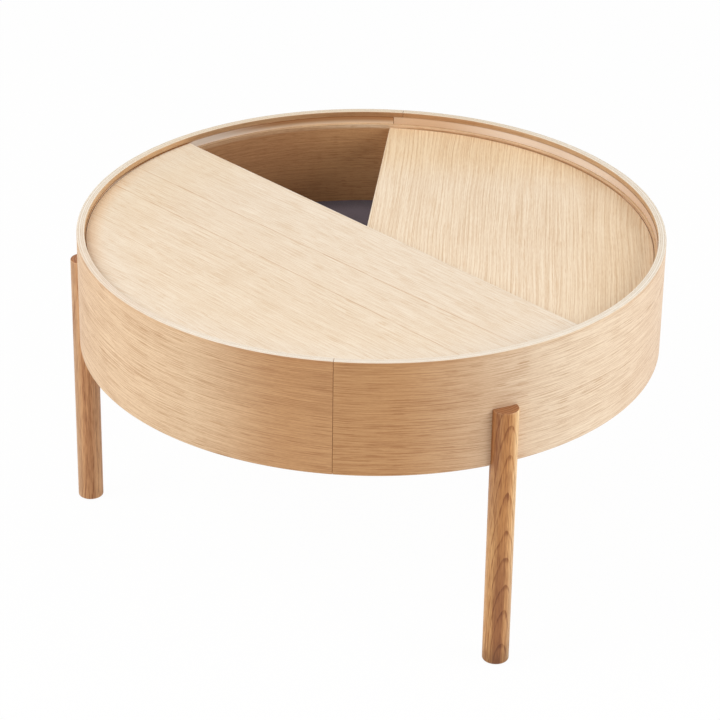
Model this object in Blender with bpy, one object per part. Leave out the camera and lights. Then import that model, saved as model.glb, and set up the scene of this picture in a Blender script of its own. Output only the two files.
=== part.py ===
"""Low round oak table with a store inside its drum.

The drum is a hoop of bent plywood in two halves round a grooved-in base. A liner inside the hoop
makes a ledge below the rim. Two half-round tops lie at two heights: the lower one is fixed, and the
upper one turns on a pin at the drum's axis and opens the store. Three notched legs carry the hoop.

Metres, +Z up. The floor is at z = 0, the seams of the hoop lie on the Y axis through the drum's
axis, and the fixed top is on the +X side, fitted about a degree off the seams. The upper top is
modelled shut and then turned open.
"""

import math

import bmesh
import bpy
from mathutils import Matrix, Vector

# Gaps: faces that touch, and pieces that run or pass through one another.
SEAT_GAP = 0.0003
RUN_GAP = 0.0007
PIN_CLEARANCE = 0.0002
HOLE_CLEARANCE = 0.0004

# Drum.
TABLE_HEIGHT = 0.380
HOOP_RADIUS = 0.330
HOOP_HEIGHT = 0.134
HOOP_WALL = 0.009
LINER_WALL = 0.003
LINER_ROUND = 0.0006
LINER_JOINT_DEG = 30.0
LEDGE_DROP = 0.015
STRIP_WALL = 0.0006
STRIP_HEIGHT = 0.009
STRIP_JOINT_DEG = 92.0
STRIP_JOINT_GAP = 0.0006

# Base of the store.
BASE_RISE = 0.006
BASE_THICK = 0.009
GROOVE_DEPTH = 0.004
FELT_THICK = 0.0022

# Tops and the turning pin between them.
TURNING_TOP_THICK = 0.0077
TURNING_TOP_OVERLAP = 0.0045
OPEN_TURN_DEG = 50.3
FIXED_TOP_THICK = 0.010
FIXED_TOP_OVERLAP = 0.0085
FIXED_TOP_STEP = 0.004
FIXED_TOP_GAP = 0.0005
FIXED_TURN_DEG = 1.25
PIN_RADIUS = 0.0025
PIN_SOCKET_DEPTH = 0.005
PIN_END_RISE = 0.002
BUSH_WALL = 0.0013
WASHER_WALL = 0.0014

# Carriers under the fixed top.
RAIL_WIDTH = 0.030
RAIL_HEIGHT = 0.020
RAIL_SETBACK = 0.001
RAIL_SCREW_COUNT = 4
RAIL_SCREW_PITCH = 0.160
CLEAT_DEPTH = 0.016
CLEAT_HEIGHT = 0.016
CLEAT_LENGTH = 0.050
CLEAT_TURNS_DEG = (-50.0, 0.0, 50.0)

# Wood screws.
SCREW_RADIUS = 0.002
SCREW_HEAD_RADIUS = 0.004
SCREW_HEAD_HEIGHT = 0.0022
SCREW_BITE = 0.007
SCREW_POINT = 0.002

# Legs.
LEG_RADIUS = 0.0147
LEG_STANDOFF = 0.0013
LEG_LAP = 0.068
LEG_TOP_ROUND = 0.0015
LEG_FOOT_ROUND = 0.002
GLIDE_RADIUS = 0.011
GLIDE_THICK = 0.004
GLIDE_PROUD = 0.0015

# Leg bolts and the threaded inserts that they screw into.
BOLT_RADIUS = 0.003
BOLT_HEAD_RADIUS = 0.007
BOLT_HEAD_HEIGHT = 0.0024
BOLT_SPACING = 0.020
BOLT_REACH = 0.011
SOCKET_RADIUS = 0.0023
SOCKET_DEPTH = 0.0015
INSERT_RADIUS = 0.005
INSERT_LENGTH = 0.013

# Facets: steps in half a turn of the drum, in a full turn of small pieces and in an edge round.
DRUM_STEPS = 48
LEG_STEPS = 28
SMALL_STEPS = 16
ROUND_STEPS = 3
SHARP_DEG = 35.0
MERGE = 0.00005
CUT_SPARE = 0.004

# Radii that follow from the sizes above.
HOOP_INNER = HOOP_RADIUS - HOOP_WALL
GROOVE_RADIUS = HOOP_INNER + GROOVE_DEPTH
LINER_OUTER = HOOP_INNER - SEAT_GAP
LINER_INNER = LINER_OUTER - LINER_WALL
STRIP_OUTER = HOOP_INNER - SEAT_GAP
STRIP_INNER = STRIP_OUTER - STRIP_WALL
TURNING_TOP_RADIUS = STRIP_INNER - RUN_GAP
FIXED_TOP_RADIUS = LINER_INNER - FIXED_TOP_GAP
CLEAT_OUTER = LINER_INNER - SEAT_GAP
NOTCH_RADIUS = HOOP_RADIUS + SEAT_GAP
LEG_CENTRE_RADIUS = HOOP_RADIUS + LEG_STANDOFF
BUSH_BORE = PIN_RADIUS + PIN_CLEARANCE
BUSH_RADIUS = BUSH_BORE + BUSH_WALL

# Heights that follow from the sizes above.
HOOP_BASE_Z = TABLE_HEIGHT - HOOP_HEIGHT
BASE_Z = HOOP_BASE_Z + BASE_RISE
BASE_TOP_Z = BASE_Z + BASE_THICK
FELT_Z = BASE_TOP_Z + SEAT_GAP
FELT_TOP_Z = FELT_Z + FELT_THICK
LEDGE_Z = TABLE_HEIGHT - LEDGE_DROP
TURNING_TOP_Z = LEDGE_Z + SEAT_GAP
FIXED_TOP_FACE_Z = LEDGE_Z - FIXED_TOP_STEP
FIXED_TOP_Z = FIXED_TOP_FACE_Z - FIXED_TOP_THICK
CARRIER_TOP_Z = FIXED_TOP_Z - SEAT_GAP
RAIL_Z = CARRIER_TOP_Z - RAIL_HEIGHT
CLEAT_Z = CARRIER_TOP_Z - CLEAT_HEIGHT
LEG_TOP_Z = HOOP_BASE_Z + LEG_LAP
BOLT_MIDDLE_Z = (FELT_TOP_Z + LEG_TOP_Z) / 2

# The box round the drum and its legs is centred on the origin, so the drum's axis stands off it.
AXIS_X = (LEG_CENTRE_RADIUS + LEG_RADIUS - HOOP_RADIUS) / 2
RAIL_X = RAIL_SETBACK - FIXED_TOP_OVERLAP

# Each leg: its name, its turn about the drum's axis, and the hoop and liner halves it is bolted to.
LEGS = (
    ("left", 180.0, "hoop_left", "liner_back"),
    ("front", -58.0, "hoop_right", "liner_front"),
    ("back", 58.0, "hoop_right", "liner_back"),
)

# Colours are linear, with roughness and metallic value.
FINISHES = {
    "oak_veneer": ((0.72, 0.53, 0.33), 0.55, 0.0),
    "oak_ply": ((0.62, 0.43, 0.25), 0.60, 0.0),
    "oak_solid": ((0.55, 0.36, 0.20), 0.55, 0.0),
    "hardwood": ((0.60, 0.44, 0.28), 0.65, 0.0),
    "strip_plastic": ((0.75, 0.66, 0.54), 0.40, 0.0),
    "felt": ((0.10, 0.08, 0.11), 0.95, 0.0),
    "nylon": ((0.80, 0.79, 0.74), 0.45, 0.0),
    "zinc_steel": ((0.55, 0.56, 0.58), 0.35, 1.0),
}


def clear_scene():
    for old in list(bpy.data.objects):
        bpy.data.objects.remove(old, do_unlink=True)


def finish_material(finish):
    """The material of this finish, made the first time it is asked for."""
    if finish in bpy.data.materials:
        return bpy.data.materials[finish]
    colour, roughness, metallic = FINISHES[finish]
    material = bpy.data.materials.new(finish)
    material.use_nodes = True
    shader = material.node_tree.nodes["Principled BSDF"]
    shader.inputs["Base Color"].default_value = (*colour, 1.0)
    shader.inputs["Roughness"].default_value = roughness
    shader.inputs["Metallic"].default_value = metallic
    return material


def axis_empty(name, x=0.0, turn=0.0, parent=None):
    """An empty on the drum's axis, for pieces that stand still or turn about it."""
    empty = bpy.data.objects.new(name, None)
    bpy.context.collection.objects.link(empty)
    empty.location.x = x
    empty.rotation_euler.z = turn
    empty.parent = parent
    return empty


def add_piece(name, bm, finish, parent):
    """An object of this mesh, with its finish, under an axis empty."""
    mesh = bpy.data.meshes.new(name)
    bm.to_mesh(mesh)
    bm.free()
    mesh.shade_smooth()
    mesh.set_sharp_from_angle(angle=math.radians(SHARP_DEG))
    mesh.materials.append(finish_material(finish))
    piece = bpy.data.objects.new(name, mesh)
    bpy.context.collection.objects.link(piece)
    piece.parent = parent
    return piece


def add_cutter(name, bm, parent):
    """An object that is only used to cut others."""
    mesh = bpy.data.meshes.new(name)
    bm.to_mesh(mesh)
    bm.free()
    cutter = bpy.data.objects.new(name, mesh)
    bpy.context.collection.objects.link(cutter)
    cutter.parent = parent
    cutter.hide_render = True
    cutter.display_type = "WIRE"
    return cutter


def cut(piece, cutter):
    boolean = piece.modifiers.new(cutter.name, "BOOLEAN")
    boolean.operation = "DIFFERENCE"
    boolean.object = cutter


def ring_sector(profile, start, end):
    """A solid swept by a profile of (radius, height) points about Z, between two angles."""
    bm = bmesh.new()
    turned = Matrix.Rotation(start, 3, "Z")
    corners = [bm.verts.new(turned @ Vector((r, 0.0, z))) for r, z in profile]
    face = bm.faces.new(corners)
    steps = max(2, round(DRUM_STEPS * (end - start) / math.pi))
    bmesh.ops.spin(
        bm,
        geom=[face, *face.edges, *face.verts],
        axis=(0.0, 0.0, 1.0),
        cent=(0.0, 0.0, 0.0),
        angle=end - start,
        steps=steps,
    )
    bmesh.ops.recalc_face_normals(bm, faces=bm.faces)
    return bm


def turned_profile(profile, closed=False):
    """A mesh of edges along (radius, height) points, to be turned by add_screw."""
    bm = bmesh.new()
    points = [bm.verts.new((r, 0.0, z)) for r, z in profile]
    for first, second in zip(points, points[1:]):
        bm.edges.new((first, second))
    if closed:
        bm.edges.new((points[-1], points[0]))
    return bm


def add_screw(piece, steps=SMALL_STEPS):
    """Turns a profile a full turn about its own Z axis."""
    screw = piece.modifiers.new("turned", "SCREW")
    screw.steps = steps
    screw.render_steps = steps
    screw.use_merge_vertices = True
    screw.merge_threshold = MERGE
    screw.use_smooth_shade = True


def cylinder(radius, low, high, steps=SMALL_STEPS):
    bm = bmesh.new()
    bmesh.ops.create_cone(
        bm,
        cap_ends=True,
        segments=steps,
        radius1=radius,
        radius2=radius,
        depth=high - low,
        matrix=Matrix.Translation((0.0, 0.0, (low + high) / 2)),
    )
    return bm


def edge_round(radius, height, size, up):
    """Points of an edge round at the outer edge of a turned end face, from top to bottom."""
    points = []
    for step in range(ROUND_STEPS + 1):
        angle = step / ROUND_STEPS * math.pi / 2
        out, along = (math.sin(angle), math.cos(angle)) if up else (math.cos(angle), -math.sin(angle))
        centre_z = height - size if up else height + size
        points.append((radius - size + size * out, centre_z + size * along))
    return points


def half_disc(radius, keep_side, overlap, low, thick):
    """A half-round board on one side of the Y axis (+1 or -1 in X), reaching past it by overlap."""
    bm = bmesh.new()
    bmesh.ops.create_circle(bm, cap_ends=True, segments=2 * DRUM_STEPS, radius=radius)
    bmesh.ops.bisect_plane(
        bm,
        geom=[*bm.verts, *bm.edges, *bm.faces],
        plane_co=(-keep_side * overlap, 0.0, 0.0),
        plane_no=(-keep_side, 0.0, 0.0),
        clear_outer=True,
    )
    bmesh.ops.translate(bm, verts=bm.verts, vec=(0.0, 0.0, low))
    raised = bmesh.ops.extrude_face_region(bm, geom=list(bm.faces))
    top = [v for v in raised["geom"] if isinstance(v, bmesh.types.BMVert)]
    bmesh.ops.translate(bm, verts=top, vec=(0.0, 0.0, thick))
    bmesh.ops.recalc_face_normals(bm, faces=bm.faces)
    return bm


def build_hoop(parent):
    """Two half hoops that meet at the front and back seams, grooved inside for the base."""
    half_gap = SEAT_GAP / 2 / HOOP_INNER
    profile = (
        (HOOP_RADIUS, HOOP_BASE_Z),
        (HOOP_RADIUS, TABLE_HEIGHT),
        (HOOP_INNER, TABLE_HEIGHT),
        (HOOP_INNER, BASE_TOP_Z + SEAT_GAP),
        (GROOVE_RADIUS, BASE_TOP_Z + SEAT_GAP),
        (GROOVE_RADIUS, BASE_Z - SEAT_GAP),
        (HOOP_INNER, BASE_Z - SEAT_GAP),
        (HOOP_INNER, HOOP_BASE_Z),
    )
    halves = {}
    for name, middle in (("hoop_right", 0.0), ("hoop_left", math.pi)):
        start = middle - math.pi / 2 + half_gap
        end = middle + math.pi / 2 - half_gap
        halves[name] = add_piece(name, ring_sector(profile, start, end), "oak_veneer", parent)
    return halves


def build_liner(parent):
    """Two half rings that line the store; their upper edge is the ledge that the tops bear on."""
    half_gap = SEAT_GAP / 2 / LINER_INNER
    inner_edge = []
    for step in range(ROUND_STEPS + 1):
        angle = step / ROUND_STEPS * math.pi / 2
        inner_edge.append(
            (
                LINER_INNER + LINER_ROUND * (1 - math.sin(angle)),
                LEDGE_Z - LINER_ROUND * (1 - math.cos(angle)),
            )
        )
    profile = (
        (LINER_OUTER, BASE_TOP_Z + SEAT_GAP),
        (LINER_OUTER, LEDGE_Z),
        *inner_edge,
        (LINER_INNER, BASE_TOP_Z + SEAT_GAP),
    )
    joint = math.radians(LINER_JOINT_DEG)
    halves = {}
    for name, first in (("liner_back", joint), ("liner_front", joint + math.pi)):
        bm = ring_sector(profile, first + half_gap, first + math.pi - half_gap)
        halves[name] = add_piece(name, bm, "oak_ply", parent)
    return halves


def build_guide_strip(parent):
    """The thin strip on the hoop's inner face that the turning top runs in, with one butt joint."""
    half_gap = STRIP_JOINT_GAP / 2 / STRIP_INNER
    profile = (
        (STRIP_OUTER, LEDGE_Z + SEAT_GAP),
        (STRIP_OUTER, LEDGE_Z + STRIP_HEIGHT),
        (STRIP_INNER, LEDGE_Z + STRIP_HEIGHT),
        (STRIP_INNER, LEDGE_Z + SEAT_GAP),
    )
    joint = math.radians(STRIP_JOINT_DEG)
    bm = ring_sector(profile, joint + half_gap, joint + 2 * math.pi - half_gap)
    add_piece("guide_strip", bm, "strip_plastic", parent)


def build_base(parent):
    """The base panel in the hoop's groove, and the felt that lies on it inside the liner."""
    panel_radius = GROOVE_RADIUS - SEAT_GAP
    panel = cylinder(panel_radius, BASE_Z, BASE_TOP_Z, 2 * DRUM_STEPS)
    add_piece("base_panel", panel, "oak_ply", parent)
    felt = cylinder(LINER_INNER - SEAT_GAP, FELT_Z, FELT_TOP_Z, 2 * DRUM_STEPS)
    add_piece("felt_mat", felt, "felt", parent)


def build_turning_top(parent):
    """The upper half-round top, and the pin in a blind socket in its underside."""
    board = half_disc(
        TURNING_TOP_RADIUS, -1, TURNING_TOP_OVERLAP, TURNING_TOP_Z, TURNING_TOP_THICK
    )
    top = add_piece("turning_top", board, "oak_veneer", parent)
    socket = cylinder(
        PIN_RADIUS + SEAT_GAP, TURNING_TOP_Z - CUT_SPARE, TURNING_TOP_Z + PIN_SOCKET_DEPTH
    )
    cut(top, add_cutter("pin_socket_cutter", socket, parent))
    pin_top = TURNING_TOP_Z + PIN_SOCKET_DEPTH - SEAT_GAP
    pin = cylinder(PIN_RADIUS, RAIL_Z + PIN_END_RISE, pin_top)
    add_piece("pivot_pin", pin, "zinc_steel", parent)


def build_fixed_top(parent):
    """The lower half-round top, bored for the bush at the drum's axis."""
    board = half_disc(FIXED_TOP_RADIUS, 1, FIXED_TOP_OVERLAP, FIXED_TOP_Z, FIXED_TOP_THICK)
    return add_piece("fixed_top", board, "oak_veneer", parent)


def build_rail(parent):
    """The rail under the fixed top's straight edge, as long as the liner leaves room for."""
    far_x = max(abs(RAIL_X), abs(RAIL_X + RAIL_WIDTH))
    half_length = math.sqrt(CLEAT_OUTER**2 - far_x**2)
    bm = bmesh.new()
    bmesh.ops.create_cube(bm, size=1.0)
    bmesh.ops.scale(bm, verts=bm.verts, vec=(RAIL_WIDTH, 2 * half_length, RAIL_HEIGHT))
    middle = (RAIL_X + RAIL_WIDTH / 2, 0.0, RAIL_Z + RAIL_HEIGHT / 2)
    bmesh.ops.translate(bm, verts=bm.verts, vec=middle)
    return add_piece("top_rail", bm, "hardwood", parent)


def build_pivot(parent, fixed_top, rail):
    """The bush for the pin, through the fixed top and its rail, and the washer between the tops."""
    hole = cylinder(BUSH_RADIUS + SEAT_GAP, RAIL_Z - CUT_SPARE, FIXED_TOP_FACE_Z + CUT_SPARE)
    cutter = add_cutter("bush_hole_cutter", hole, parent)
    cut(fixed_top, cutter)
    cut(rail, cutter)
    sleeve = (
        (BUSH_RADIUS, FIXED_TOP_FACE_Z),
        (BUSH_RADIUS, RAIL_Z),
        (BUSH_BORE, RAIL_Z),
        (BUSH_BORE, FIXED_TOP_FACE_Z),
    )
    add_screw(add_piece("pivot_bush", turned_profile(sleeve, closed=True), "nylon", parent))
    washer_bore = PIN_RADIUS + PIN_CLEARANCE
    washer_low = FIXED_TOP_FACE_Z + SEAT_GAP
    washer_high = TURNING_TOP_Z - SEAT_GAP
    washer = (
        (washer_bore + WASHER_WALL, washer_high),
        (washer_bore + WASHER_WALL, washer_low),
        (washer_bore, washer_low),
        (washer_bore, washer_high),
    )
    add_screw(add_piece("pivot_washer", turned_profile(washer, closed=True), "nylon", parent))


def cleat_sector(middle, length, high):
    """A block against the liner's inner face, with its upper face at this height."""
    half_turn = length / 2 / CLEAT_OUTER
    profile = (
        (CLEAT_OUTER, high - CLEAT_HEIGHT),
        (CLEAT_OUTER, high),
        (CLEAT_OUTER - CLEAT_DEPTH, high),
        (CLEAT_OUTER - CLEAT_DEPTH, high - CLEAT_HEIGHT),
    )
    return ring_sector(profile, middle - half_turn, middle + half_turn)


def add_wood_screw(name, x, y, carrier, carrier_z, fixed_top, parent):
    """A pan-head screw up through a carrier into the fixed top, with the holes for it."""
    head_top = carrier_z - SEAT_GAP
    tip = FIXED_TOP_Z + SCREW_BITE
    hole = cylinder(SCREW_RADIUS + HOLE_CLEARANCE, carrier_z - CUT_SPARE, tip + SEAT_GAP)
    cutter = add_cutter(name + "_hole_cutter", hole, parent)
    cutter.location = (x, y, 0.0)
    cut(carrier, cutter)
    cut(fixed_top, cutter)
    profile = (
        (0.0, tip),
        (SCREW_RADIUS, tip - SCREW_POINT),
        (SCREW_RADIUS, head_top),
        (SCREW_HEAD_RADIUS, head_top),
        (SCREW_HEAD_RADIUS, head_top - SCREW_HEAD_HEIGHT),
        (0.0, head_top - SCREW_HEAD_HEIGHT),
    )
    screw = add_piece(name, turned_profile(profile), "zinc_steel", parent)
    screw.location = (x, y, 0.0)
    add_screw(screw)


def build_carriers(parent, fixed_top, rail):
    """Cleats glued to the liner under the fixed top and under the rail's ends, and their screws."""
    rail_middle = RAIL_X + RAIL_WIDTH / 2
    rail_turn = math.acos(rail_middle / (CLEAT_OUTER - CLEAT_DEPTH / 2))
    for name, turn in (("back", rail_turn), ("front", -rail_turn)):
        block = cleat_sector(turn, RAIL_WIDTH, RAIL_Z - SEAT_GAP)
        add_piece("rail_cleat_" + name, block, "hardwood", parent)
    screw_radius = CLEAT_OUTER - CLEAT_DEPTH / 2
    for number, degrees in enumerate(CLEAT_TURNS_DEG, 1):
        turn = math.radians(degrees)
        block = cleat_sector(turn, CLEAT_LENGTH, CARRIER_TOP_Z)
        cleat = add_piece(f"top_cleat_{number}", block, "hardwood", parent)
        x, y = screw_radius * math.cos(turn), screw_radius * math.sin(turn)
        add_wood_screw(f"cleat_screw_{number}", x, y, cleat, CLEAT_Z, fixed_top, parent)
    for number in range(RAIL_SCREW_COUNT):
        y = (number - (RAIL_SCREW_COUNT - 1) / 2) * RAIL_SCREW_PITCH
        name = f"rail_screw_{number + 1}"
        add_wood_screw(name, rail_middle, y, rail, RAIL_Z, fixed_top, parent)


def leg_profile():
    """Half the section of a round leg, from its top to the recess for the glide under its foot."""
    recess_radius = GLIDE_RADIUS + SEAT_GAP
    recess_top = GLIDE_THICK + SEAT_GAP
    return (
        (0.0, LEG_TOP_Z),
        *edge_round(LEG_RADIUS, LEG_TOP_Z, LEG_TOP_ROUND, up=True),
        *edge_round(LEG_RADIUS, GLIDE_PROUD, LEG_FOOT_ROUND, up=False),
        (recess_radius, GLIDE_PROUD),
        (recess_radius, recess_top),
        (0.0, recess_top),
    )


def build_leg(name, turn, hoop_half, liner_half, notch, parent):
    """A leg notched over the hoop, its foot glide, and two bolts into threaded inserts."""
    place = (LEG_CENTRE_RADIUS * math.cos(turn), LEG_CENTRE_RADIUS * math.sin(turn), 0.0)
    leg = add_piece("leg_" + name, turned_profile(leg_profile()), "oak_solid", parent)
    leg.location = place
    leg.rotation_euler.z = turn
    add_screw(leg, LEG_STEPS)
    cut(leg, notch)
    glide = add_piece("foot_glide_" + name, cylinder(GLIDE_RADIUS, 0.0, GLIDE_THICK), "nylon", parent)
    glide.location = place
    for label, side in (("lower", -1), ("upper", 1)):
        height = BOLT_MIDDLE_Z + side * BOLT_SPACING / 2
        build_bolt(f"{name}_{label}", turn, height, (hoop_half, liner_half), leg, parent)


def build_bolt(label, turn, height, walls, leg, parent):
    """A flat-head bolt from inside the store, through liner and hoop into an insert in the leg."""
    outward = (0.0, math.pi / 2, turn)
    head_seat = LINER_INNER - SEAT_GAP
    bolt_end = NOTCH_RADIUS + BOLT_REACH
    through = cylinder(BOLT_RADIUS + HOLE_CLEARANCE, LINER_INNER - CUT_SPARE, HOOP_RADIUS + CUT_SPARE)
    through_cutter = add_cutter(f"bolt_hole_cutter_{label}", through, parent)
    insert_end = NOTCH_RADIUS + INSERT_LENGTH
    pocket = cylinder(INSERT_RADIUS + SEAT_GAP, HOOP_RADIUS - CUT_SPARE, insert_end + SEAT_GAP)
    pocket_cutter = add_cutter(f"insert_pocket_cutter_{label}", pocket, parent)
    for wall in walls:
        cut(wall, through_cutter)
    cut(leg, pocket_cutter)
    bore = BOLT_RADIUS + PIN_CLEARANCE
    insert_profile = (
        (INSERT_RADIUS, insert_end),
        (INSERT_RADIUS, NOTCH_RADIUS),
        (bore, NOTCH_RADIUS),
        (bore, insert_end),
    )
    insert = turned_profile(insert_profile, closed=True)
    insert = add_piece(f"leg_insert_{label}", insert, "zinc_steel", parent)
    add_screw(insert)
    bolt_profile = (
        (0.0, bolt_end),
        (BOLT_RADIUS, bolt_end),
        (BOLT_RADIUS, head_seat),
        (BOLT_HEAD_RADIUS, head_seat),
        (BOLT_HEAD_RADIUS, head_seat - BOLT_HEAD_HEIGHT),
        (0.0, head_seat - BOLT_HEAD_HEIGHT),
    )
    bolt = add_piece(f"leg_bolt_{label}", turned_profile(bolt_profile), "zinc_steel", parent)
    add_screw(bolt)
    head_face = head_seat - BOLT_HEAD_HEIGHT
    hexagon = cylinder(SOCKET_RADIUS, head_face - CUT_SPARE, head_face + SOCKET_DEPTH, 6)
    socket_cutter = add_cutter(f"socket_cutter_{label}", hexagon, parent)
    cut(bolt, socket_cutter)
    for piece in (through_cutter, pocket_cutter, insert, bolt, socket_cutter):
        piece.location.z = height
        piece.rotation_euler = outward


def build_legs(parent, walls):
    notch = cylinder(NOTCH_RADIUS, HOOP_BASE_Z - SEAT_GAP, TABLE_HEIGHT, 2 * DRUM_STEPS)
    notch_cutter = add_cutter("leg_notch_cutter", notch, parent)
    for name, degrees, hoop_name, liner_name in LEGS:
        turn = math.radians(degrees)
        build_leg(name, turn, walls[hoop_name], walls[liner_name], notch_cutter, parent)


def build_table():
    clear_scene()
    drum_axis = axis_empty("drum_axis", x=AXIS_X)
    fixed_axis = axis_empty("fixed_axis", turn=math.radians(FIXED_TURN_DEG), parent=drum_axis)
    turning_axis = axis_empty("turning_axis", turn=math.radians(OPEN_TURN_DEG), parent=drum_axis)
    walls = {**build_hoop(drum_axis), **build_liner(drum_axis)}
    build_guide_strip(drum_axis)
    build_base(drum_axis)
    fixed_top = build_fixed_top(fixed_axis)
    rail = build_rail(fixed_axis)
    build_pivot(fixed_axis, fixed_top, rail)
    build_carriers(fixed_axis, fixed_top, rail)
    build_turning_top(turning_axis)
    build_legs(drum_axis, walls)


build_table()
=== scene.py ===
import math

import bmesh
import bpy
from mathutils import Matrix, Vector, noise


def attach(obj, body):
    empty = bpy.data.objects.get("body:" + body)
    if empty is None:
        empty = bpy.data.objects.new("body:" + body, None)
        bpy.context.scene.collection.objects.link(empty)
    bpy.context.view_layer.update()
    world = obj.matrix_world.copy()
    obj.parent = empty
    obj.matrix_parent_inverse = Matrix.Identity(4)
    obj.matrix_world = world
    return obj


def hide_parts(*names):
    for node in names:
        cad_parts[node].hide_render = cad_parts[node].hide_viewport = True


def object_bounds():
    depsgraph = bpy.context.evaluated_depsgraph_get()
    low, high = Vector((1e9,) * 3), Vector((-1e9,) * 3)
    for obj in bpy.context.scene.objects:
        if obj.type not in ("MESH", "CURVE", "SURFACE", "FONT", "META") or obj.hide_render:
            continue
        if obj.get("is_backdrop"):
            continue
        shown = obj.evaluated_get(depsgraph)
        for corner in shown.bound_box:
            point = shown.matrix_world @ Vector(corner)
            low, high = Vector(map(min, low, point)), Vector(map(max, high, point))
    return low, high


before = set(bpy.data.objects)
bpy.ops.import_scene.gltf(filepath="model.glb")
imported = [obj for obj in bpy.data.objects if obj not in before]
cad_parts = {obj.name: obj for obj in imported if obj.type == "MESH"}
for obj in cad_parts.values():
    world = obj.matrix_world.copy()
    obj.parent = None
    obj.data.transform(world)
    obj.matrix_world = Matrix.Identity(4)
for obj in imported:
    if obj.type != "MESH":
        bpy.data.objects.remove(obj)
CAD_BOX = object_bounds()

# The low round table's looks: finer meshes round the drum's axis for what can be seen, and node
# materials for every piece. Metres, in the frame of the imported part.

# Gaps between pieces, and the thinner one where a glued face shows.
SEAT_GAP = 0.0003
GLUE_GAP = 0.00005

# Drum.
AXIS_X = 0.008
RIM_Z = 0.380
HOOP_BASE_Z = 0.246
HOOP_OUTER = 0.330
HOOP_INNER = 0.321
GROOVE_RADIUS = 0.325
HOOP_EDGE_ROUND = 0.0008
SEAM_ROUND = 0.0004
PLY_COUNT = 4
RIM_PLY = (HOOP_OUTER - HOOP_INNER) / PLY_COUNT
PLY_LINE_WIDTH = 0.00030
PLY_LINE_DEPTH = 0.00015
LINER_OUTER = 0.3207
LINER_INNER = 0.3177
LINER_ROUND = 0.0006
LINER_JOINT_DEG = 30.0
LEDGE_Z = 0.365
STRIP_OUTER = 0.3207
STRIP_INNER = 0.3201
STRIP_TOP_Z = 0.374
STRIP_ROUND = 0.0002
STRIP_JOINT_DEG = 92.0
STRIP_JOINT_GAP = 0.0006

# Base of the store. The felt swells in waves and ripples, so many in a metre.
BASE_Z = 0.252
BASE_TOP_Z = 0.261
BASE_RADIUS = 0.3247
BASE_ROUND = 0.0005
FELT_Z = 0.2613
FELT_TOP_Z = 0.2635
FELT_RADIUS = 0.3174
FELT_EDGE = 0.0008
FELT_TURN_IN = 0.004
FELT_SECTORS = 160
FELT_RINGS = 44
FELT_SWELL = 0.00016
FELT_WAVES = 28.0
FELT_RIPPLES = 75.0

# Tops, and the pivot between them. The fixed top, with what carries it, stands a little off square.
TURNING_RADIUS = 0.3194
TURNING_EDGE = 0.0045
TURNING_Z = 0.3653
TURNING_TOP_Z = 0.3730
OPEN_TURN_DEG = 50.3
PIN_SOCKET_RADIUS = 0.0028
PIN_SOCKET_DEPTH = 0.005
FIXED_RADIUS = 0.3172
FIXED_EDGE = 0.0085
FIXED_Z = 0.351
FIXED_TOP_Z = 0.361
FIXED_TURN_DEG = 1.25
BUSH_HOLE_RADIUS = 0.0043
BUSH_CLEAR_RADIUS = 0.012
TOP_EDGE_ROUND = 0.0009
TOP_UNDER_ROUND = 0.0005
BOARD_PLY = 0.00128

# Carriers under the fixed top.
CARRIER_TOP_Z = 0.3507
RAIL_X = -0.0075
RAIL_WIDTH = 0.030
RAIL_HEIGHT = 0.020
RAIL_Z = CARRIER_TOP_Z - RAIL_HEIGHT
RAIL_EDGE_ROUND = 0.0012
RAIL_SCREWS = 4
RAIL_SCREW_PITCH = 0.160
CLEAT_OUTER = 0.3174
CLEAT_DEPTH = 0.016
CLEAT_MIDDLE = CLEAT_OUTER - CLEAT_DEPTH / 2
CLEAT_HEIGHT = 0.016
CLEAT_LENGTH = 0.050
CLEAT_EDGE_ROUND = 0.0010
CLEAT_TURNS_DEG = (-50.0, 0.0, 50.0)

# Wood screws. A thread ridge peaks and ends at shares of its pitch.
SCREW_RADIUS = 0.0020
SCREW_HOLE_RADIUS = 0.0024
SCREW_HEAD_RADIUS = 0.0040
SCREW_HEAD_HEIGHT = 0.0022
SCREW_HEAD_ROUND = 0.0009
SCREW_BITE = 0.007
SCREW_POINT = 0.002
SCREW_TIP_RADIUS = 0.0002
SCREW_PLAIN_SHANK = 0.004
SCREW_THREAD_PITCH = 0.0013
SCREW_THREAD_DEPTH = 0.0005
THREAD_PEAK = 0.45
THREAD_END = 0.9
RECESS_LENGTH = 0.0042
RECESS_WIDTH = 0.0009
RECESS_DEPTH = 0.0013

# Legs, their glides and bolts.
LEG_RADIUS = 0.0147
LEG_CENTRE_RADIUS = 0.3313
LEG_TOP_Z = 0.314
LEG_FOOT_Z = 0.0015
LEG_TOP_ROUND = 0.0015
LEG_FOOT_ROUND = 0.0020
NOTCH_RADIUS = HOOP_OUTER + SEAT_GAP
NOTCH_Z = HOOP_BASE_Z - SEAT_GAP
GLIDE_RADIUS = 0.011
GLIDE_THICK = 0.004
GLIDE_UNDER_ROUND = 0.0010
GLIDE_UPPER_ROUND = 0.0004
BOLT_RADIUS = 0.003
BOLT_SEAT = LINER_INNER - SEAT_GAP
BOLT_HEAD_RADIUS = 0.007
BOLT_HEAD_HEIGHT = 0.0024
BOLT_FACE = BOLT_SEAT - BOLT_HEAD_HEIGHT
BOLT_HEAD_ROUND = 0.0016
BOLT_END_BEVEL = 0.0006
BOLT_REACH = 0.011
BOLT_HOLE_RADIUS = 0.0034
BOLT_CLEAR_RADIUS = 0.016
BOLT_HEIGHTS = {"lower": 0.27875, "upper": 0.29875}
SOCKET_RADIUS = 0.0023
SOCKET_SIDES = 6
SOCKET_RIM = 0.0012
SOCKET_DEPTH = 0.0015
INSERT_HOLE_RADIUS = 0.0053
INSERT_HOLE_LENGTH = 0.0133
LEGS = {"left": math.radians(180.0), "front": math.radians(-58.0), "back": math.radians(58.0)}

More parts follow.
